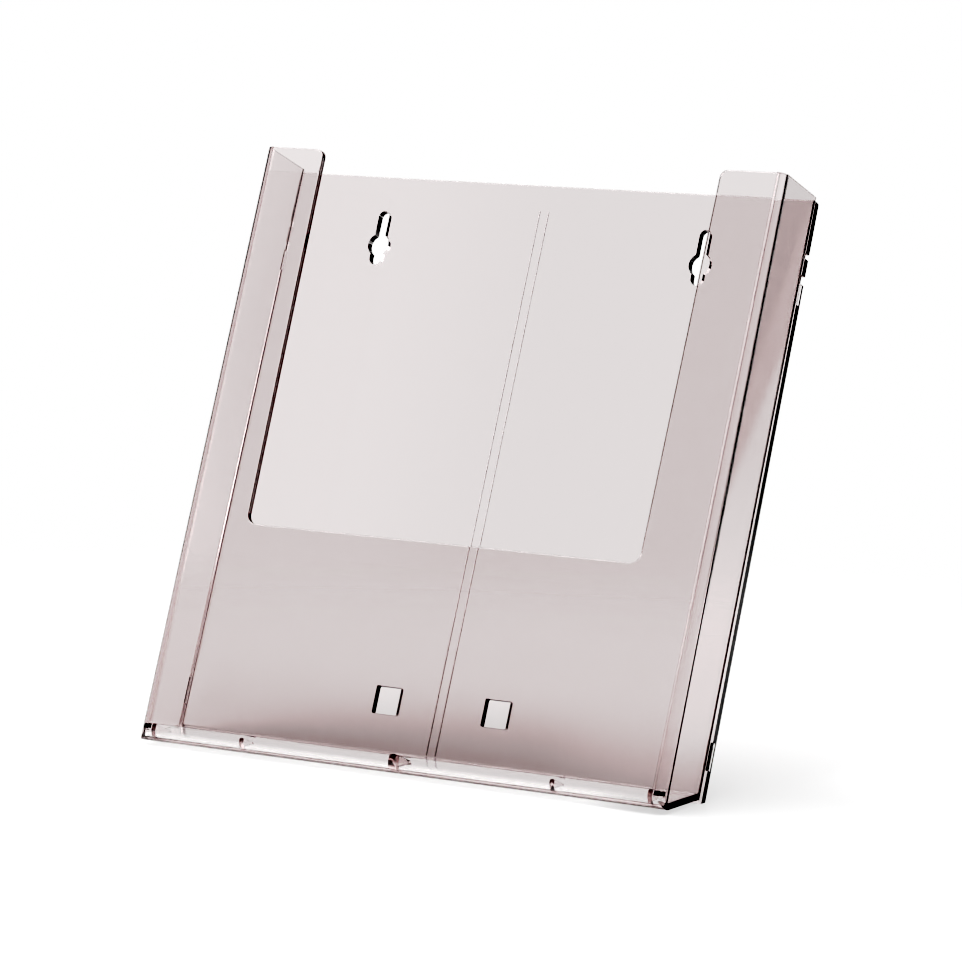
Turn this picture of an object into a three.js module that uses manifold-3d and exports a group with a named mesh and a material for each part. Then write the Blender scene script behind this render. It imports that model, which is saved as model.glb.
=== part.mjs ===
// Wall-hung leaflet pocket in clear smoke-tinted plastic. Millimetres, +Z up, the pocket's front faces -Y.
// The lowest edge is at z = 0, and the origin is under the middle of the outer box.
import * as THREE from "three";
import Module from "manifold-3d";

const wasm = await Module();
wasm.setup();

// Overall sizes
const bodyWidth = 230.4; // outside the side walls
const height = 242.8; // lowest edge to the rim
const depth = 32; // front face to wall face
const floorTilt = 20.5; // degrees, the floor runs down towards the front

// Panels
const backThickness = 3;
const frontThickness = 2.5;
const floorThickness = 2.67; // measured straight up
const wallTopThickness = 1.5; // side walls get thicker towards the floor
const wallBottomThickness = 1.7;
const backLipTop = 0.2; // back panel stands proud of each side wall, more towards the floor
const backLipBottom = 1.2;
const backRimDrop = 1.2; // back panel's top edge is this much below the rim
const noseRadius = 4.5; // front-bottom edge
const lipHeight = 6.2; // top of the floor's upturned front edge
const uprightEdgeTopRadius = 3.5; // front vertical edges, outside, softer towards the floor
const uprightEdgeBottomRadius = 5;
const wallRootRadius = 0.8; // inside corner between a side wall and the back panel
const footDepth = 1.5; // back panel stands proud of the floor's underside
const rimCornerRadius = 1.2; // back panel's top corners

// Open front
const flangeTopWidth = 27.2;
const flangeBottomWidth = 28.8;
const openingHeight = 89; // lowest edge to the sill
const sillCornerRadius = 4.2;
const flangeCornerRadius = 3.2;

// Keyholes for the wall screws
const keyholeSpacing = 144;
const keyholeDrop = 28.3; // back panel's top edge to the centre of the round part
const keyholeRadius = 4.65; // lets the screw head through
const upperSlotWidth = 4.8;
const upperSlotRise = 14.1; // centre of the round part to the slot's top
const lowerSlotWidth = 5.4;
const lowerSlotFall = 8.3; // centre of the round part to the slot's lower end

// Square windows near the floor
const squareSpacing = 48.4;
const squareSide = 10.95;
const squareBottom = 25.5;

// Link notches in both upright edges of the back panel, measured from its top edge to their lower ends
const linkNotchDepth = 1.5;
const topNotchDrop = 23.2;
const topNotchHeight = 2.2;
const hookNotchDrop = 33.2;
const hookNotchHeight = 3.5;
const upperGrooveDrop = 41.4;
const lowerGrooveBottom = 20; // lowest edge to the lower groove
const grooveHeight = 8.3;
const lowerGrooveHeight = 10.6;
const grooveWidth = 1;
const grooveDepth = 1.2;

// Centre divider fittings
const railSpacing = 3.9;
const railWidth = 0.6;
const railHeight = 0.5;
const railTopGap = 10.7; // back panel's top edge to the top of a rail

// Blocks in the corner between the front and the floor: a key in the middle, two humps, two corner blocks
const keyWidth = 4.6;
const keyTop = 6.9;
const keyDome = 1.6;
const quarterSpacing = 136.4;
const humpWidth = 2;
const humpTop = 5.4;
const humpDome = 0.8;
const cornerBlockInset = 6.3; // outer side to the block's middle
const cornerBlockWidth = 1.9;
const cornerBlockTop = 6.2;
const cornerBlockDome = 0.4;

const seatGap = 0.3; // between a rail's end and the floor

const front = -depth / 2;
const back = depth / 2;
const backFace = back - backThickness;
const backRim = height - backRimDrop;
const frontBackFace = front + frontThickness;
const tilt = (floorTilt * Math.PI) / 180;

// The sloped underside leaves the rounded nose as its tangent
function underside(y) {
  return Math.tan(tilt) * (y - front - noseRadius) + noseRadius - noseRadius / Math.cos(tilt);
}

function floorTop(y) {
  return underside(y) + floorThickness;
}

// Half-width of the back panel at height z
function backHalf(z) {
  return bodyWidth / 2 + backLipBottom + (backLipTop - backLipBottom) * (z / height);
}

// Outside radius of the front vertical edges at height z
function edgeRadius(z) {
  return uprightEdgeBottomRadius + (uprightEdgeTopRadius - uprightEdgeBottomRadius) * (z / height);
}

function wallThickness(z) {
  return wallBottomThickness + (wallTopThickness - wallBottomThickness) * (z / height);
}

// A closed solid between two copies of one outline. place(u, v, end) gives a point; end is 0 or 1.
function ruled(contour, openings, place) {
  const outline = THREE.ShapeUtils.isClockWise(contour) ? [...contour].reverse() : contour;
  const holes = openings.map((ring) => (THREE.ShapeUtils.isClockWise(ring) ? ring : [...ring].reverse()));
  const rings = [outline, ...holes];
  const flat = rings.flat();
  const count = flat.length;
  const points = [];
  for (const end of [0, 1]) {
    for (const p of flat) {
      points.push(place(p.x, p.y, end));
    }
  }
  const index = [];
  for (const [a, b, c] of THREE.ShapeUtils.triangulateShape(outline, holes)) {
    index.push(c, b, a);
    index.push(a + count, b + count, c + count);
  }
  let start = 0;
  for (const ring of rings) {
    for (let i = 0; i < ring.length; i += 1) {
      const a = start + i;
      const b = start + ((i + 1) % ring.length);
      index.push(a, b, b + count);
      index.push(a, b + count, a + count);
    }
    start += ring.length;
  }
  return facingOut(points, index);
}

// A closed solid between two outlines with the same number of points, at two heights
function loft(low, high, z0, z1) {
  const order = new Map(low.map((p, i) => [`${p.x},${p.y}`, i]));
  return ruled(low, [], (u, v, end) => {
    const p = end ? high[order.get(`${u},${v}`)] : at(u, v);
    return new THREE.Vector3(p.x, p.y, end ? z1 : z0);
  });
}

function facingOut(points, index) {
  let volume = 0;
  for (let i = 0; i < index.length; i += 3) {
    const [a, b, c] = [points[index[i]], points[index[i + 1]], points[index[i + 2]]];
    volume += a.dot(new THREE.Vector3().crossVectors(b, c));
  }
  if (volume < 0) {
    for (let i = 0; i < index.length; i += 3) {
      [index[i], index[i + 1]] = [index[i + 1], index[i]];
    }
  }
  const geometry = new THREE.BufferGeometry();
  const values = points.flatMap((p) => [p.x, p.y, p.z]);
  geometry.setAttribute("position", new THREE.Float32BufferAttribute(values, 3));
  geometry.setIndex(index);
  return geometry;
}

function toManifold(geometry) {
  const mesh = new wasm.Mesh({
    numProp: 3,
    vertProperties: new Float32Array(geometry.getAttribute("position").array),
    triVerts: new Uint32Array(geometry.index.array),
  });
  return new wasm.Manifold(mesh);
}

function fromManifold(solid) {
  const mesh = solid.getMesh();
  const geometry = new THREE.BufferGeometry();
  const values = [];
  for (let i = 0; i < mesh.numVert; i += 1) {
    values.push(...mesh.vertProperties.slice(i * mesh.numProp, i * mesh.numProp + 3));
  }
  geometry.setAttribute("position", new THREE.Float32BufferAttribute(values, 3));
  geometry.setIndex(Array.from(mesh.triVerts));
  return geometry;
}

function cut(geometry, tools) {
  let solid = toManifold(geometry);
  for (const tool of tools) {
    solid = solid.subtract(toManifold(tool));
  }
  return fromManifold(solid);
}

function keepInside(geometry, limit) {
  return fromManifold(toManifold(geometry).intersect(toManifold(limit)));
}

const at = (x, y) => new THREE.Vector2(x, y);

// Points along an arc, both ends included, angles in degrees
function arc(cx, cy, radius, from, to, steps = 8) {
  const points = [];
  for (let i = 0; i <= steps; i += 1) {
    const angle = ((from + ((to - from) * i) / steps) * Math.PI) / 180;
    points.push(at(cx + radius * Math.cos(angle), cy + radius * Math.sin(angle)));
  }
  return points;
}

function block(x0, x1, y0, y1, z0, z1) {
  const outline = [at(x0, y0), at(x1, y0), at(x1, y1), at(x0, y1)];
  return ruled(outline, [], (u, v, end) => new THREE.Vector3(u, v, end ? z1 : z0));
}

// The pocket's plan outline at height z, reaching behind it
function plan(z) {
  const r = edgeRadius(z);
  const half = bodyWidth / 2;
  const far = back + 20;
  return [
    at(-half, far),
    ...arc(-half + r, front + r, r, 180, 270),
    ...arc(half - r, front + r, r, 270, 360),
    at(half, far),
  ];
}

// A solid with rounded front corners, taller than the pocket, that trims front pieces
function planLimit() {
  const below = -20;
  return loft(plan(below), plan(height), below, height);
}

function backPanel() {
  const low = underside(backFace) - footDepth;
  const r = rimCornerRadius;
  const top = backHalf(backRim);
  const outline = [
    at(-backHalf(low), low),
    at(backHalf(low), low),
    ...arc(top - r, backRim - r, r, 0, 90, 5),
    ...arc(-top + r, backRim - r, r, 90, 180, 5),
  ];
  const holes = [];
  for (const side of [-1, 1]) {
    holes.push(keyhole((side * keyholeSpacing) / 2));
    const x = (side * squareSpacing) / 2;
    const s = squareSide / 2;
    const c = squareBottom + s;
    const soft = 0.5;
    holes.push([
      ...arc(x + s - soft, c - s + soft, soft, -90, 0, 3),
      ...arc(x + s - soft, c + s - soft, soft, 0, 90, 3),
      ...arc(x - s + soft, c + s - soft, soft, 90, 180, 3),
      ...arc(x - s + soft, c - s + soft, soft, 180, 270, 3),
    ]);
  }
  // The lower edge runs along the sloped underside, a little below it
  const panel = ruled(outline, holes, (u, v, end) => {
    const y = end ? back : backFace;
    return new THREE.Vector3(u, y, v === low ? underside(y) - footDepth : v);
  });
  return cut(panel, linkCuts());
}

// Round middle, long slot up and short slot down, each with a rounded end
function keyhole(x) {
  const up = upperSlotWidth / 2;
  const down = lowerSlotWidth / 2;
  const z = backRim - keyholeDrop;
  const upAngle = (Math.acos(up / keyholeRadius) * 180) / Math.PI;
  const downAngle = (Math.acos(down / keyholeRadius) * 180) / Math.PI;
  return [
    ...arc(x, z, keyholeRadius, -downAngle, upAngle, 12),
    ...arc(x, z + upperSlotRise - up, up, 0, 180, 10),
    ...arc(x, z, keyholeRadius, 180 - upAngle, 180 + downAngle, 12),
    ...arc(x, z - lowerSlotFall + down, down, 180, 360, 10),
  ];
}

function linkCuts() {
  const tools = [];
  const out = bodyWidth / 2 + 10;
  const middle = (back + backFace) / 2;
  const rows = [
    { low: backRim - topNotchDrop, rise: topNotchHeight },
    { low: backRim - hookNotchDrop, rise: hookNotchHeight },
  ];
  const grooves = [
    { low: backRim - upperGrooveDrop, rise: grooveHeight - seatGap },
    { low: lowerGrooveBottom, rise: lowerGrooveHeight },
  ];
  for (const side of [-1, 1]) {
    const span = (z, inset) => [side * (backHalf(z) - inset), side * out].sort((a, b) => a - b);
    const y0 = middle - grooveWidth / 2;
    const y1 = middle + grooveWidth / 2;
    for (const { low, rise } of rows) {
      const [n0, n1] = span(low, linkNotchDepth);
      tools.push(block(n0, n1, backFace - 5, back + 5, low, low + rise));
    }
    for (const { low, rise } of grooves) {
      const [g0, g1] = span(low, grooveDepth);
      tools.push(block(g0, g1, y0, y1, low, low + rise));
    }
  }
  return tools;
}

function frontPanel() {
  const half = bodyWidth / 2;
  const wideLow = half - edgeRadius(lipHeight);
  const wideHigh = half - edgeRadius(height);
  const top = half - flangeTopWidth;
  const sill = half - flangeBottomWidth;
  const r = sillCornerRadius;
  const f = flangeCornerRadius;
  const outline = [
    at(-wideLow, lipHeight),
    at(wideLow, lipHeight),
    at(wideHigh, height),
    ...arc(top + f, height - f, f, 90, 180, 8),
    ...arc(sill - r, openingHeight + r, r, 0, -90, 8),
    ...arc(-sill + r, openingHeight + r, r, -90, -180, 8),
    ...arc(-top - f, height - f, f, 0, 90, 8),
    at(-wideHigh, height),
  ];
  return ruled(outline, [], (u, v, end) => new THREE.Vector3(u, end ? frontBackFace : front, v));
}

// The inside corner between the floor's lip and its sloped upper face, from the lip down
function innerCorner() {
  const r = noseRadius - frontThickness;
  const y = frontBackFace + r;
  const z = floorTop(y) + r / Math.cos(tilt);
  return arc(y, z, r, 180, 270 + floorTilt, 8);
}

// Everything at and below the floor's upper face, and its upturned front edge up to the front panel
function floorEnvelope() {
  const far = back + 5;
  const outline = [
    at(front - 5, -40),
    at(far, -40),
    at(far, floorTop(far)),
    ...innerCorner().reverse(),
    at(frontBackFace, lipHeight),
    at(front - 5, lipHeight),
  ];
  return ruled(outline, [], (y, z, end) => new THREE.Vector3(end ? bodyWidth : -bodyWidth, y, z));
}

// A side wall from above at height z: it turns the rounded front corner and meets the front panel edge to edge
function wallPlan(side, z) {
  const t = wallThickness(z);
  const r = edgeRadius(z);
  const f = wallRootRadius;
  const half = bodyWidth / 2;
  const turn = half - r;
  const bend = arc(0, 0, 1, -90, 0, 10);
  const plan = [
    ...bend.map((p) => at(turn + r * p.x, front + r + r * p.y)),
    at(half, backFace),
    ...arc(half - t - f, backFace - f, f, 90, 0, 5),
    ...bend.reverse().map((p) => at(turn + (r - t) * p.x, front + r + (r - frontThickness) * p.y)),
  ];
  return plan.map((p) => at(side * p.x, p.y));
}

function sideWall(side) {
  const below = -20;
  const wall = loft(wallPlan(side, below), wallPlan(side, height), below, height);
  return cut(wall, [floorEnvelope()]);
}

function floorPanel() {
  const r = noseRadius;
  const wide = bodyWidth;
  const outline = [
    at(front, lipHeight),
    ...arc(front + r, r, r, 180, 270, 9),
    ...arc(front + r, r, r, 270, 270 + floorTilt, 2).slice(1),
    at(backFace, underside(backFace)),
    at(backFace, floorTop(backFace)),
    ...innerCorner().reverse(),
    at(frontBackFace, lipHeight),
  ];
  const slab = ruled(outline, [], (y, z, finish) => new THREE.Vector3(finish ? wide : -wide, y, z));
  return keepInside(slab, planLimit());
}

function dividerRail(side) {
  const x = (side * railSpacing) / 2;
  const w = railWidth / 2;
  const y = backFace;
  const outline = [
    at(x - w, y),
    at(x - w * 0.6, y - railHeight),
    at(x + w * 0.6, y - railHeight),
    at(x + w, y),
  ];
  return ruled(outline, [], (u, v, end) => {
    const z = end ? backRim - railTopGap : floorTop(v) + seatGap;
    return new THREE.Vector3(u, v, z);
  });
}

// A block with a domed top, from the front panel back to where the floor rises to it
function floorBlock(x, width, top, dome) {
  const shoulder = top - dome;
  const start = front + noseRadius;
  const end = start + (shoulder - floorTop(start)) / Math.tan(tilt);
  const steps = 12;
  const outline = [at(x - width / 2, -20), at(x + width / 2, -20)];
  for (let i = 0; i <= steps; i += 1) {
    const angle = (Math.PI * i) / steps;
    outline.push(at(x + (width / 2) * Math.cos(angle), shoulder + dome * Math.sin(angle)));
  }
  const block = ruled(outline, [], (u, v, far) => new THREE.Vector3(u, far ? end : frontBackFace, v));
  return cut(block, [floorEnvelope()]);
}

function piece(name, geometry, colour, opacity = 0.6) {
  const finish = { color: colour, roughness: 0.08, metalness: 0, transparent: true, opacity };
  const material = new THREE.MeshStandardMaterial(finish);
  geometry.computeVertexNormals();
  const mesh = new THREE.Mesh(geometry, material);
  mesh.name = name;
  return mesh;
}

const pocket = new THREE.Group();
pocket.name = "leaflet_pocket";
pocket.add(piece("back_panel", backPanel(), 0xcdc4c4));
pocket.add(piece("front_panel", frontPanel(), 0xd3cbca));
pocket.add(piece("left_side_wall", sideWall(-1), 0xc2b8b8));
pocket.add(piece("right_side_wall", sideWall(1), 0xc2b8b8));
pocket.add(piece("floor_panel", floorPanel(), 0xc9bfbf));
pocket.add(piece("divider_rail_left", dividerRail(-1), 0xb8aeae));
pocket.add(piece("divider_rail_right", dividerRail(1), 0xb8aeae));

const key = floorBlock(0, keyWidth, keyTop, keyDome);
pocket.add(piece("divider_key", key, 0xa89e9e));
for (const [side, word] of [[-1, "left"], [1, "right"]]) {
  const hump = floorBlock((side * quarterSpacing) / 2, humpWidth, humpTop, humpDome);
  pocket.add(piece(`floor_hump_${word}`, hump, 0xb0a6a6));
  const x = side * (bodyWidth / 2 - cornerBlockInset);
  const corner = floorBlock(x, cornerBlockWidth, cornerBlockTop, cornerBlockDome);
  pocket.add(piece(`corner_block_${word}`, corner, 0xb0a6a6));
}

export default pocket;
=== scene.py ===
import math
import bmesh
import bpy
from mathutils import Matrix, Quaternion, Vector


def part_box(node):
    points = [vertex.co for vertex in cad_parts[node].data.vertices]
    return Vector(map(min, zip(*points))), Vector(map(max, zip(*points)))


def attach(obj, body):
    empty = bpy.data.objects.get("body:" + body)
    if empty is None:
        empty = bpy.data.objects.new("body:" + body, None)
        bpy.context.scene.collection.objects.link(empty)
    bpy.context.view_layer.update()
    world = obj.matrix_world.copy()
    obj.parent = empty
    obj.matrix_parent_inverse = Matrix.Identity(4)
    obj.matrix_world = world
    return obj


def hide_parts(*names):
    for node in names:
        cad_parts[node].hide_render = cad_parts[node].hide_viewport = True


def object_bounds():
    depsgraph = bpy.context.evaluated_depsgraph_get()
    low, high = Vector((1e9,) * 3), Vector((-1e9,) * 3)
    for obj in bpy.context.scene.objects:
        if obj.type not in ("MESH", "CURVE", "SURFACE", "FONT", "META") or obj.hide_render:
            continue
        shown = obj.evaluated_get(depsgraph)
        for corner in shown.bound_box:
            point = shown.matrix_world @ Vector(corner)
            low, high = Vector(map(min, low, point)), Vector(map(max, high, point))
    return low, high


# A clear, smoke-tinted leaflet pocket that leans back on a white table. Lengths are in metres.
# The pocket stays upright here with its front towards -Y, and the table leans instead.
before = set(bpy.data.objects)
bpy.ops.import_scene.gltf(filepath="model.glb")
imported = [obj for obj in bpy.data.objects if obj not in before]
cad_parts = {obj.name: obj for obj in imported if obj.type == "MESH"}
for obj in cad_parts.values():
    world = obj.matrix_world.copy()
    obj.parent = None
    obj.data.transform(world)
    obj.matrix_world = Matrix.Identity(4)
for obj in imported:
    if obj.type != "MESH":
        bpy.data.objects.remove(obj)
cadLow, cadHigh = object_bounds()
mm = 0.001
print("pocket frame loaded,", len(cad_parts), "pieces")

scene = bpy.context.scene
collection = scene.collection


def addNode(tree, kind, sockets=None, **settings):
    node = tree.nodes.new(kind)
    for key, value in settings.items():
        setattr(node, key, value)
    for key, value in (sockets or {}).items():
        node.inputs[key].default_value = value
    return node


def wire(tree, source, target):
    tree.links.new(source, target)


def doMath(tree, operation, *values):
    node = addNode(tree, "ShaderNodeMath", operation=operation)
    for socket, value in zip(node.inputs, values):
        if isinstance(value, (int, float)):
            socket.default_value = value
        else:
            wire(tree, value, socket)
    return node.outputs[0]


def times(tree, first, second):
    return doMath(tree, "MULTIPLY", first, second)


def plus(tree, first, second):
    return doMath(tree, "ADD", first, second)


def ramp(tree, value, low, high, fromValue=0.0, toValue=1.0, smooth=True):
    limits = {"From Min": low, "From Max": high, "To Min": fromValue, "To Max": toValue}
    node = addNode(tree, "ShaderNodeMapRange", limits)
    node.interpolation_type = "SMOOTHSTEP" if smooth else "LINEAR"
    wire(tree, value, node.inputs["Value"])
    return node.outputs["Result"]


def fall(tree, value, low, high):
    return ramp(tree, value, low, high, 1.0, 0.0)


def band(tree, value, up, down):
    # 1 between the two soft edges, 0 outside them
    return times(tree, ramp(tree, value, *up), fall(tree, value, *down))


smoke = {
    "ior": 1.5,
    "tint": (0.55, 0.45, 0.45, 1),  # what the plastic lets through
    "depth": 165,  # how fast it darkens, per metre
    "skin": (0.995, 0.99, 0.99, 1),
    "cut": (0.03, 0.025, 0.025, 1),  # painted shade: a near-black colour on the side faces of the square windows, standing in for the dark surroundings seen through their edges
    "patchScale": 28,
    "patchDetail": 3,
    "patchEdge": (0.45, 0.8),
    "haze": 0.004,  # roughness in the soft patches
    "scuffScale": 900,
    "scuffDetail": 2,
    "scuffEdge": (0.35, 0.75),
    "scuffRough": (0.015, 0.05),  # roughness on the worn edges
    "scuffHeight": 0.004 * mm,
    "scuffShare": 0.6,
    "flowDetail": 1.5,
}


def smokeNoise(tree, where, scale, detail):
    noise = addNode(tree, "ShaderNodeTexNoise", {"Scale": scale, "Detail": detail})
    wire(tree, where, noise.inputs["Vector"])
    return noise.outputs["Fac"]


def smokePlastic(name, flowScale, flowHeight, haze=smoke["haze"], along=(1, 1, 1), depth=smoke["depth"],
                 paintedDarkCuts=False):
    material = bpy.data.materials.new(name)
    material.use_nodes = True
    tree = material.node_tree
    tree.nodes.clear()
    out = addNode(tree, "ShaderNodeOutputMaterial")
    body = addNode(tree, "ShaderNodeBsdfPrincipled",
                   {"Base Color": smoke["skin"], "IOR": smoke["ior"], "Transmission Weight": 1.0})
    # painted shade: the marked window side faces get a near-black opaque colour instead of clear plastic
    if paintedDarkCuts:
        cut = addNode(tree, "ShaderNodeAttribute", attribute_name="cutEdge").outputs["Fac"]
        surface = addNode(tree, "ShaderNodeMix", data_type="RGBA")
        wire(tree, cut, surface.inputs[0])
        surface.inputs[6].default_value = smoke["skin"]
        surface.inputs[7].default_value = smoke["cut"]
        wire(tree, surface.outputs[2], body.inputs["Base Color"])
        wire(tree, doMath(tree, "SUBTRACT", 1.0, cut), body.inputs["Transmission Weight"])
    inside = addNode(tree, "ShaderNodeVolumeAbsorption", {"Color": smoke["tint"], "Density": depth})
    place = addNode(tree, "ShaderNodeTexCoord").outputs["Object"]
    stretch = addNode(tree, "ShaderNodeMapping", {"Scale": along})
    wire(tree, place, stretch.inputs["Vector"])
    where = stretch.outputs["Vector"]

    # handling haze in soft patches, and fine scuffs that show on the worn edges
    patches = smokeNoise(tree, where, smoke["patchScale"], smoke["patchDetail"])
    scuffs = smokeNoise(tree, where, smoke["scuffScale"], smoke["scuffDetail"])
    edge = addNode(tree, "ShaderNodeAttribute", attribute_name="edgeWear").outputs["Fac"]
    soft = ramp(tree, patches, *smoke["patchEdge"], 0.0, haze)
    rubbed = times(tree, edge, ramp(tree, scuffs, *smoke["scuffEdge"], *smoke["scuffRough"]))
    wire(tree, plus(tree, soft, rubbed), body.inputs["Roughness"])

    # long, shallow flow waves left by moulding, with a trace of the scuffs on top
    flow = smokeNoise(tree, where, flowScale, smoke["flowDetail"])
    waves = addNode(tree, "ShaderNodeBump", {"Strength": 1.0, "Distance": flowHeight})
    wire(tree, flow, waves.inputs["Height"])
    rub = addNode(tree, "ShaderNodeBump", {"Distance": smoke["scuffHeight"]})
    wire(tree, times(tree, edge, smoke["scuffShare"]), rub.inputs["Strength"])
    wire(tree, scuffs, rub.inputs["Height"])
    wire(tree, waves.outputs["Normal"], rub.inputs["Normal"])
    wire(tree, rub.outputs["Normal"], body.inputs["Normal"])
    wire(tree, body.outputs["BSDF"], out.inputs["Surface"])
    wire(tree, inside.outputs["Volume"], out.inputs["Volume"])
    return material


shaping = {
    "weldFrom": 0.001 * mm,
    "flatAngle": math.radians(0.4),
    "sharpAngle": math.radians(28),
    "shadeAngle": math.radians(32),
    "near": 0.1 * mm,  # how close counts as lying on a plane
    "seam": 0.1 * mm,  # how far a bonded face runs into its neighbour
    "flatWeight": 100,
}
near = shaping["near"]
seam = shaping["seam"]


def meshOf(node):
    # the frame's own shape, welded and with its flat faces whole again
    bm = bmesh.new()
    bm.from_mesh(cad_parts[node].data)
    bmesh.ops.remove_doubles(bm, verts=bm.verts, dist=shaping["weldFrom"])
    bmesh.ops.dissolve_limit(bm, angle_limit=shaping["flatAngle"], use_dissolve_boundaries=False,
                             verts=bm.verts, edges=bm.edges)
    bm.edges.ensure_lookup_table()
    return bm


def weld(bm, belongs, shift):
    # lets a bonded face run a hair into its neighbour, so that no gap shows in the clear plastic
    moved = set()
    for face in bm.faces:
        if belongs(face.normal, face.calc_center_median()):
            moved.update(face.verts)
    for vert in moved:
        vert.co += Vector(shift)


def sharpEdges(bm, keep, angle=shaping["sharpAngle"]):
    found = []
    for edge in bm.edges:
        if len(edge.link_faces) == 2 and edge.calc_face_angle(0) > angle:
            if keep((edge.verts[0].co + edge.verts[1].co) / 2, edge):
                found.append(edge)
    return found


def level(edge):
    return abs(edge.verts[0].co.y - edge.verts[1].co.y) < near


def wearLayer(bm):
    return bm.faces.layers.float.get("edgeWear") or bm.faces.layers.float.new("edgeWear")


def soften(bm, edges, width, segments):
    layer = wearLayer(bm)
    made = bmesh.ops.bevel(bm, geom=edges, offset=width, offset_type="OFFSET", segments=segments,
                           profile=0.5, affect="EDGES", clamp_overlap=True)
    for face in made["faces"]:
        face[layer] = 1.0


def finishPiece(name, bm, material, replaced):
    wearLayer(bm)
    bmesh.ops.recalc_face_normals(bm, faces=bm.faces)
    mesh = bpy.data.meshes.new(name)
    bm.to_mesh(mesh)
    bm.free()
    for polygon in mesh.polygons:
        polygon.use_smooth = True
    mesh.set_sharp_from_angle(angle=shaping["shadeAngle"])
    mesh.materials.append(material)
    piece = bpy.data.objects.new(name, mesh)
    collection.objects.link(piece)
    even = piece.modifiers.new("flat faces stay flat", "WEIGHTED_NORMAL")
    even.keep_sharp = True
    even.weight = shaping["flatWeight"]
    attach(piece, "root")
    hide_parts(replaced)


backPanel = {
    "rimRound": 0.8 * mm,
    "rimSteps": 5,
    "rimBand": 1.4 * mm,  # the part of the panel that counts as its top edge
    "edgeRound": 0.1 * mm,
    "edgeSteps": 2,
    "windowReach": 30 * mm,  # the square windows lie within this of the centre line
    "windowTop": 60 * mm,
    "plastic": {"flowScale": 14, "flowHeight": 0.05 * mm, "paintedDarkCuts": True},
}
backLow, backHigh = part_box("back_panel")


def makeBackPanel():
    bm = meshOf("back_panel")
    rimFrom = backHigh.z - backPanel["rimBand"]

    def onFront(m, e):
        return level(e) and abs(m.y - backLow.y) < near / 10

    rim = sharpEdges(bm, lambda m, e: onFront(m, e) and m.z > rimFrom)
    soften(bm, rim, backPanel["rimRound"], backPanel["rimSteps"])
    side = sharpEdges(bm, lambda m, e: onFront(m, e) and m.z < rimFrom)
    soften(bm, side, backPanel["edgeRound"], backPanel["edgeSteps"])
    # painted shade: marks the left-facing side faces of the square windows for the near-black colour
    cut = bm.faces.layers.float.new("cutEdge")
    for face in bm.faces:
        c = face.calc_center_median()
        inWindow = abs(c.x) < backPanel["windowReach"] and c.z < backPanel["windowTop"]
        if inWindow and face.normal.x < -0.99:
            face[cut] = 1.0
    finishPiece("backPanel", bm, backPlastic, "back_panel")


frontPanel = {
    "rimRound": 0.7 * mm,
    "rimSteps": 5,
    "sideEdge": 6 * mm,  # the outer strip that keeps its sharp edges
    "weldStrip": 2.5 * mm,
    "footBand": 1 * mm,
    "plastic": {"flowScale": 17, "flowHeight": 0.04 * mm},
}
frontLow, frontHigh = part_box("front_panel")


def makeFrontPanel():
    bm = meshOf("front_panel")
    bottom = frontLow.z
    openTo = frontHigh.x - frontPanel["sideEdge"]
    weldFrom = frontHigh.x - frontPanel["weldStrip"]
    opening = sharpEdges(bm, lambda m, e: level(e) and m.z > bottom + frontPanel["footBand"]
                         and m.y < frontLow.y + near and abs(m.x) < openTo)
    soften(bm, opening, frontPanel["rimRound"], frontPanel["rimSteps"])
    weld(bm, lambda n, c: n.z < -0.9 and c.z < bottom + near, (0, 0, -seam))
    for side in (-1, 1):
        weld(bm, lambda n, c: n.x * side > 0.99 and c.x * side > weldFrom, (side * seam, 0, 0))
    finishPiece("frontPanel", bm, frontPlastic, "front_panel")


sideWall = {
    "rimRound": 0.4 * mm,
    "rimSteps": 4,
    "rimAngle": math.radians(50),
    "rimReach": 4 * mm,  # how far in from its outer face the rim is softened
    "footTop": 20 * mm,
    "plastic": {"flowScale": 12, "flowHeight": 0.05 * mm, "along": (1, 1, 0.5), "depth": 290},
}


def makeSideWall(node, name, side):
    bm = meshOf(node)
    low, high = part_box(node)
    outer = low.x if side < 0 else high.x
    rim = sharpEdges(bm, lambda m, e: m.z > high.z - near and m.y < high.y - near
                     and abs(m.x - outer) < sideWall["rimReach"], sideWall["rimAngle"])
    soften(bm, rim, sideWall["rimRound"], sideWall["rimSteps"])
    weld(bm, lambda n, c: n.y > 0.99 and c.y > high.y - near / 2, (0, seam, 0))
    weld(bm, lambda n, c: n.z < -0.05 and c.z < sideWall["footTop"], (0, 0, -seam))
    finishPiece(name, bm, wallPlastic, node)


floorPanel = {"plastic": {"flowScale": 20, "flowHeight": 0.03 * mm, "haze": 0.008, "depth": 20}}


def makeFloorPanel():
    bm = meshOf("floor_panel")
    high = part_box("floor_panel")[1]
    weld(bm, lambda n, c: n.y > 0.99 and c.y > high.y - near / 2, (0, seam, 0))
    finishPiece("floorPanel", bm, floorPlastic, "floor_panel")


smallParts = {"plastic": {"flowScale": 60, "flowHeight": 0.01 * mm}}


def makeRail(node, name):
    bm = meshOf(node)
    weld(bm, lambda n, c: n.y > 0.9, (0, seam, 0))
    finishPiece(name, bm, railPlastic, node)


def makeBlock(node, name):
    bm = meshOf(node)
    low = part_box(node)[0]
    weld(bm, lambda n, c: n.z < -0.05, (0, 0, -seam))
    weld(bm, lambda n, c: n.y < -0.9 and c.y < low.y + near / 2, (0, -seam, 0))
    finishPiece(name, bm, railPlastic, node)


backPlastic = smokePlastic("smokeBackPlastic", **backPanel["plastic"])
frontPlastic = smokePlastic("smokeFrontPlastic", **frontPanel["plastic"])
wallPlastic = smokePlastic("smokeWallPlastic", **sideWall["plastic"])
floorPlastic = smokePlastic("smokeFloorPlastic", **floorPanel["plastic"])
railPlastic = smokePlastic("smokeRailPlastic", **smallParts["plastic"])
print("smoke plastics made")

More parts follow.
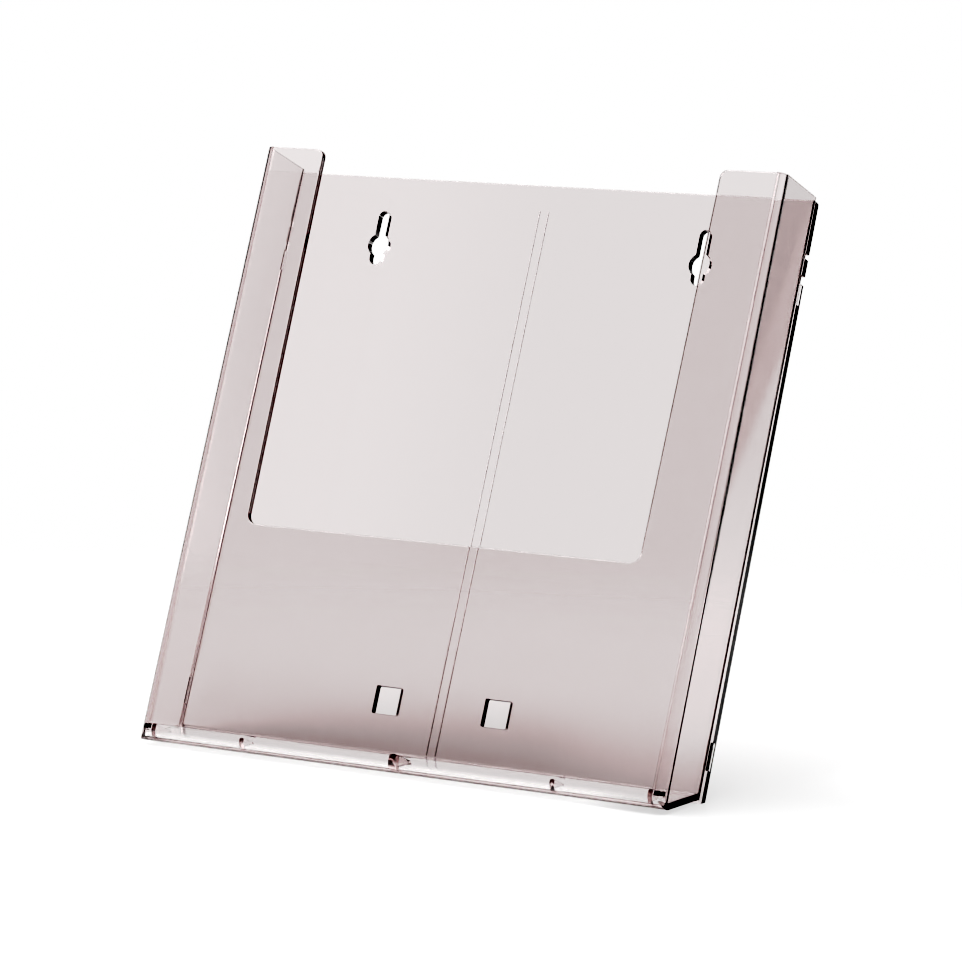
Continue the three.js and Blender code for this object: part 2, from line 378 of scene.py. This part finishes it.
makeBackPanel()
makeFrontPanel()
makeSideWall("left_side_wall", "leftSideWall", -1)
makeSideWall("right_side_wall", "rightSideWall", 1)
makeFloorPanel()
makeRail("divider_rail_left", "dividerRailLeft")
makeRail("divider_rail_right", "dividerRailRight")
makeBlock("divider_key", "dividerKey")
makeBlock("floor_hump_left", "floorHumpLeft")
makeBlock("floor_hump_right", "floorHumpRight")
makeBlock("corner_block_left", "cornerBlockLeft")
makeBlock("corner_block_right", "cornerBlockRight")
print("pocket panels made")

table = {
    "lean": math.radians(20.5),  # how far the pocket leans back on it
    "reach": 3.0,
    "steps": 24,
    "gap": 0.05 * mm,
    "shade": (0.36, 0.36, 0.36, 1),
    "gloss": 0.05,
    "glossRough": 0.05,
    "fade": (0.32, 0.65),  # the top fades into the surroundings at this distance
    "glow": 0.46,  # the top is lit from below as well
    "cornerGlow": 0.5,  # painted light: more glow far behind the right side
    "cornerAcross": (0.12, 0.18),
    "cornerAlong": (0.04, 0.14),
    "aheadGlow": 0.3,  # painted light: more glow under the front edge, lifting the shadow there
    "aheadUp": (-0.12, -0.05),
    "aheadDown": (-0.005, 0.01),
    "aheadAcross": (0.075, 0.105),
    "footGlow": -0.1,  # painted shade: less glow right behind the foot
    "footUp": (0.01, 0.04),
    "footDown": (0.07, 0.2),
    "footLeft": (-0.118, -0.1),
    "footRight": (0.05, 0.1),
    "slant": 0.577,  # sideways per metre back, along the line that hides the foot
}
tableUp = Vector((0, -math.sin(table["lean"]), math.cos(table["lean"])))
tableBack = Vector((0, math.cos(table["lean"]), math.sin(table["lean"])))
wallSide = [v.co.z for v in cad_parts["back_panel"].data.vertices if v.co.y > backHigh.y - near]
restEdge = Vector((0, backHigh.y, min(wallSide)))


def tableGlow(tree, position):
    spot = addNode(tree, "ShaderNodeSeparateXYZ")
    wire(tree, position, spot.inputs[0])
    across, along = spot.outputs[0], spot.outputs[1]
    leftward = doMath(tree, "MULTIPLY_ADD", along, table["slant"], across)
    # painted light and shade on the top: the glow is raised at the corner and ahead, and lowered behind the
    # foot
    corner = times(tree, ramp(tree, across, *table["cornerAcross"]), ramp(tree, along, *table["cornerAlong"]))
    foot = times(tree, band(tree, along, table["footUp"], table["footDown"]),
                 band(tree, leftward, table["footLeft"], table["footRight"]))
    ahead = times(tree, band(tree, along, table["aheadUp"], table["aheadDown"]),
                  fall(tree, across, *table["aheadAcross"]))
    glow = doMath(tree, "MULTIPLY_ADD", corner, table["cornerGlow"], table["glow"])
    glow = doMath(tree, "MULTIPLY_ADD", ahead, table["aheadGlow"], glow)
    return doMath(tree, "MULTIPLY_ADD", foot, table["footGlow"], glow)


def tableTop():
    material = bpy.data.materials.new("whiteTableTop")
    material.use_nodes = True
    tree = material.node_tree
    tree.nodes.clear()
    out = addNode(tree, "ShaderNodeOutputMaterial")
    paint = addNode(tree, "ShaderNodeBsdfDiffuse", {"Color": table["shade"]})
    shine = addNode(tree, "ShaderNodeBsdfAnisotropic", {"Roughness": table["glossRough"]})
    gloss = addNode(tree, "ShaderNodeMixShader", {"Fac": table["gloss"]})
    wire(tree, paint.outputs[0], gloss.inputs[1])
    wire(tree, shine.outputs[0], gloss.inputs[2])
    geometry = addNode(tree, "ShaderNodeNewGeometry")
    under = addNode(tree, "ShaderNodeEmission")
    wire(tree, tableGlow(tree, geometry.outputs["Position"]), under.inputs["Strength"])
    lit = addNode(tree, "ShaderNodeAddShader")
    wire(tree, gloss.outputs[0], lit.inputs[0])
    wire(tree, under.outputs[0], lit.inputs[1])
    # the top fades out with distance and can't be seen from below
    far = addNode(tree, "ShaderNodeVectorMath", operation="LENGTH")
    wire(tree, geometry.outputs["Position"], far.inputs[0])
    fade = ramp(tree, far.outputs["Value"], *table["fade"])
    hidden = doMath(tree, "MAXIMUM", geometry.outputs["Backfacing"], fade)
    clear = addNode(tree, "ShaderNodeBsdfTransparent")
    mix = addNode(tree, "ShaderNodeMixShader")
    wire(tree, hidden, mix.inputs["Fac"])
    wire(tree, lit.outputs[0], mix.inputs[1])
    wire(tree, clear.outputs[0], mix.inputs[2])
    wire(tree, mix.outputs[0], out.inputs["Surface"])
    return material


def makeTable():
    bm = bmesh.new()
    steps, reach = table["steps"], table["reach"]
    for row in range(steps + 1):
        for column in range(steps + 1):
            across = Vector(((column / steps * 2 - 1) * reach, 0, 0))
            away = (row / steps * 2 - 1) * reach
            bm.verts.new(restEdge + across + tableBack * away - tableUp * table["gap"])
    bm.verts.ensure_lookup_table()
    width = steps + 1
    for row in range(steps):
        for column in range(steps):
            a = row * width + column
            bm.faces.new([bm.verts[i] for i in (a, a + 1, a + 1 + width, a + width)])
    bmesh.ops.recalc_face_normals(bm, faces=bm.faces)
    mesh = bpy.data.meshes.new("whiteTable")
    bm.to_mesh(mesh)
    bm.free()
    if mesh.polygons[0].normal.dot(tableUp) < 0:
        mesh.flip_normals()
    mesh.materials.append(tableTop())
    plane = bpy.data.objects.new("whiteTable", mesh)
    collection.objects.link(plane)


makeTable()
print("white table made")

# turns are degrees right of straight back, rises are degrees up
studio = {
    "white": 1.0,
    "darkStart": (26.45, 26.75),  # a dark card behind on the right, at 13 degrees up
    "darkEnd": (32.7, 33.7),
    "darkTop": (55, 70),
    "dark": 0.02,
    "cardRise": 13.0,
    "cardLean": 0.3,
    "middleLeft": (-24.5, -22.5),  # dark cards straight behind, with a gap between them
    "middleRight": (22.5, 24.5),
    "middleGap": (10, 12),
    "middleTop": (25, 45),
    "patchLeft": (22.5, 24.5),  # a bright patch beside the card, brighter lower down
    "patchRight": (34, 44),
    "patchTop": (9.5, 12.2),
    "softBox": 5.8,  # overhead, towards the front
    "boxTowards": (-0.24, -0.4, 0.85),
    "boxEdge": (0.9, 0.94),
    "screen": 0.3,  # a dim screen in front on the left, so the flat faces don't glare
    "screenLeft": (-176, -166),
    "screenRight": (-134, -124),
    "screenTop": (38, 52),
    "sheen": 2.6,  # a bright strip for the inner face of the left wall
    "sheenLeft": (33.4, 34.4),
    "sheenRight": (46, 60),
    "sheenTop": (22, 34),
    "leftGlow": 0.07,  # a little more light from far left
    "leftGlowEdge": (-32.5, -29.5),
}


def makeStudio():
    world = bpy.data.worlds.new("whiteStudio")
    scene.world = world
    world.use_nodes = True
    tree = world.node_tree
    tree.nodes.clear()
    out = addNode(tree, "ShaderNodeOutputWorld")
    light = addNode(tree, "ShaderNodeBackground", {"Color": (1, 1, 1, 1)})
    direction = addNode(tree, "ShaderNodeTexCoord").outputs["Generated"]
    parts = addNode(tree, "ShaderNodeSeparateXYZ")
    wire(tree, direction, parts.inputs[0])
    x, y, z = parts.outputs
    degrees = 180 / math.pi
    turn = times(tree, doMath(tree, "ARCTAN2", x, y), degrees)
    rise = times(tree, doMath(tree, "ARCSINE", z), degrees)

    above = doMath(tree, "SUBTRACT", rise, studio["cardRise"])
    leaning = doMath(tree, "MULTIPLY_ADD", above, studio["cardLean"], turn)
    right = times(tree, ramp(tree, leaning, *studio["darkStart"]), fall(tree, turn, *studio["darkEnd"]))
    right = times(tree, right, fall(tree, rise, *studio["darkTop"]))
    middle = band(tree, turn, studio["middleLeft"], studio["middleRight"])
    middle = times(tree, middle, ramp(tree, doMath(tree, "ABSOLUTE", turn), *studio["middleGap"]))
    middle = times(tree, middle, fall(tree, rise, *studio["middleTop"]))
    card = doMath(tree, "MAXIMUM", right, middle)

    patch = times(tree, band(tree, turn, studio["patchLeft"], studio["patchRight"]),
                  ramp(tree, rise, *studio["patchTop"], 1.0, 0.0, False))
    towards = addNode(tree, "ShaderNodeVectorMath", operation="DOT_PRODUCT")
    wire(tree, direction, towards.inputs[0])
    towards.inputs[1].default_value = Vector(studio["boxTowards"]).normalized()
    box = ramp(tree, towards.outputs["Value"], *studio["boxEdge"], 0.0, studio["softBox"])
    screen = times(tree, band(tree, turn, studio["screenLeft"], studio["screenRight"]),
                   fall(tree, rise, *studio["screenTop"]))
    room = doMath(tree, "MULTIPLY_ADD", screen, studio["screen"] - studio["white"], studio["white"])
    sheen = times(tree, band(tree, turn, studio["sheenLeft"], studio["sheenRight"]),
                  fall(tree, rise, *studio["sheenTop"]))
    plain = plus(tree, plus(tree, room, box), plus(tree, patch, times(tree, sheen, studio["sheen"])))
    plain = plus(tree, plain, ramp(tree, turn, *studio["leftGlowEdge"], studio["leftGlow"], 0.0))
    full = times(tree, plain, doMath(tree, "MULTIPLY_ADD", card, studio["dark"] - 1.0, 1.0))

    # seen directly, the surroundings are plain white
    strength = addNode(tree, "ShaderNodeMix", data_type="FLOAT")
    wire(tree, addNode(tree, "ShaderNodeLightPath").outputs["Is Camera Ray"], strength.inputs[0])
    wire(tree, full, strength.inputs[2])
    strength.inputs[3].default_value = studio["white"]
    wire(tree, strength.outputs[0], light.inputs["Strength"])
    wire(tree, light.outputs[0], out.inputs["Surface"])


makeStudio()
print("studio made")

camera = {
    "turn": math.radians(30.19),
    "rise": math.radians(-11.01),
    "roll": math.radians(11.71),
    "distance": 1.627,
    "lens": 158.74,
    "filmWidth": 36,
    "aimShift": (0.0042, 0.0, -0.0034),
    "nearest": 0.05,
    "farthest": 50,
}


def makeCamera():
    data = bpy.data.cameras.new("pocketCamera")
    data.lens = camera["lens"]
    data.sensor_width = camera["filmWidth"]
    data.clip_start = camera["nearest"]
    data.clip_end = camera["farthest"]
    eye = bpy.data.objects.new("pocketCamera", data)
    collection.objects.link(eye)
    turn, rise = camera["turn"], camera["rise"]
    away = Vector((math.sin(turn) * math.cos(rise), -math.cos(turn) * math.cos(rise), math.sin(rise)))
    aim = (cadLow + cadHigh) / 2 + Vector(camera["aimShift"])
    eye.location = aim + away * camera["distance"]
    eye.rotation_mode = "QUATERNION"
    eye.rotation_quaternion = (-away).to_track_quat("-Z", "Y") @ Quaternion((0, 0, 1), camera["roll"])
    scene.camera = eye


picture = {
    "tones": ((0.19, 0.02), (0.40, 0.325), (0.54, 0.56), (0.745, 0.745)),  # deepens the darker tones
    "bounces": 32,
    "otherBounces": 16,
}


def setPicture():
    scene.view_settings.view_transform = "Standard"
    scene.view_settings.look = "None"
    scene.view_settings.use_curve_mapping = True
    contrast = scene.view_settings.curve_mapping
    points = contrast.curves[3].points
    points[0].location = (0, 0)
    points[1].location = (1, 1)
    for shade, shown in picture["tones"]:
        points.new(shade, shown)
    contrast.update()
    scene.cycles.max_bounces = picture["bounces"]
    scene.cycles.transmission_bounces = picture["bounces"]
    scene.cycles.glossy_bounces = picture["otherBounces"]
    scene.cycles.transparent_max_bounces = picture["otherBounces"]


makeCamera()
setPicture()
print("camera and tones set")
